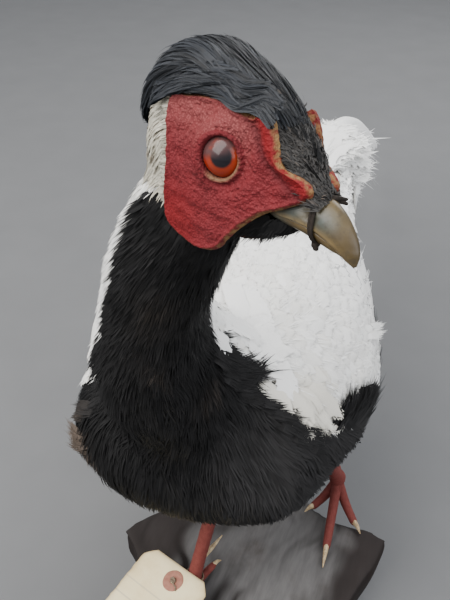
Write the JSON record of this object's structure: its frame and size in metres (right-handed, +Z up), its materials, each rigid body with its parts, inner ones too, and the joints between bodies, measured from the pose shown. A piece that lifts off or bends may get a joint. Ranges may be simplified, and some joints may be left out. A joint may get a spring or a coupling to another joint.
{
  "type": "mounted silver pheasant cock",
  "caption": "Life-size mounted pheasant cock standing in mid-step with its head turned, on a piece of weathered wood, with a blank label tied to one leg.",
  "frame": {"origin": "a point on the wood's flat underside, near its middle and below the bird's feet", "axes": "the bird faces -Y with its tail to +Y, its own left is +X, and +Z is up"},
  "size_m": [0.2123, 0.8858, 0.4581],
  "materials": {
    "black_feathers": "black lanceolate feathers with a faint blue sheen",
    "white_feathers": "white feathers with fine grey lines along each vane",
    "crest": "glossy blue-black hair-like feathers",
    "bare_face": "dry crimson skin covered with small grains",
    "head_skin": "dark skin under the short feathers of the head",
    "eye": "orange-red glass eye with a dark pupil, slightly hazy",
    "bill_horn": "dull horn, yellow-brown with a grey base",
    "thread": "dark linen thread",
    "leg_skin": "red scaled skin, dry and a little faded",
    "claw_horn": "pale horn",
    "weathered_wood": "grey-brown weathered wood with an open grain",
    "card": "aged manila card",
    "card_patch": "red-brown reinforcing ring of paper",
    "string": "twisted cotton string"
  },
  "bodies": {
    "root": {"trunk": "black_feathers", "neck": "black_feathers", "tail_coverts": "black_feathers", "thigh_left": "black_feathers", "thigh_right": "black_feathers", "wing_left": "white_feathers", "wing_right": "white_feathers", "tail_left": "white_feathers", "tail_right": "white_feathers", "crest": "crest", "face_left": "bare_face", "face_right": "bare_face", "head": "head_skin", "eye_left": "eye", "eye_right": "eye", "bill_upper": "bill_horn", "bill_lower": "bill_horn", "bill_thread": "thread", "tarsus_left": "leg_skin", "toe_left_inner": "leg_skin", "toe_left_middle": "leg_skin", "toe_left_outer": "leg_skin", "toe_left_hind": "leg_skin", "spur_left": "claw_horn", "claw_left_inner": "claw_horn", "claw_left_middle": "claw_horn", "claw_left_outer": "claw_horn", "claw_left_hind": "claw_horn", "tarsus_right": "leg_skin", "toe_right_inner": "leg_skin", "toe_right_middle": "leg_skin", "toe_right_outer": "leg_skin", "toe_right_hind": "leg_skin", "spur_right": "claw_horn", "claw_right_inner": "claw_horn", "claw_right_middle": "claw_horn", "claw_right_outer": "claw_horn", "claw_right_hind": "claw_horn", "base": "weathered_wood", "tag": "card", "tag_patch": "card_patch", "tag_tie": "string"}
  },
  "joints": []
}
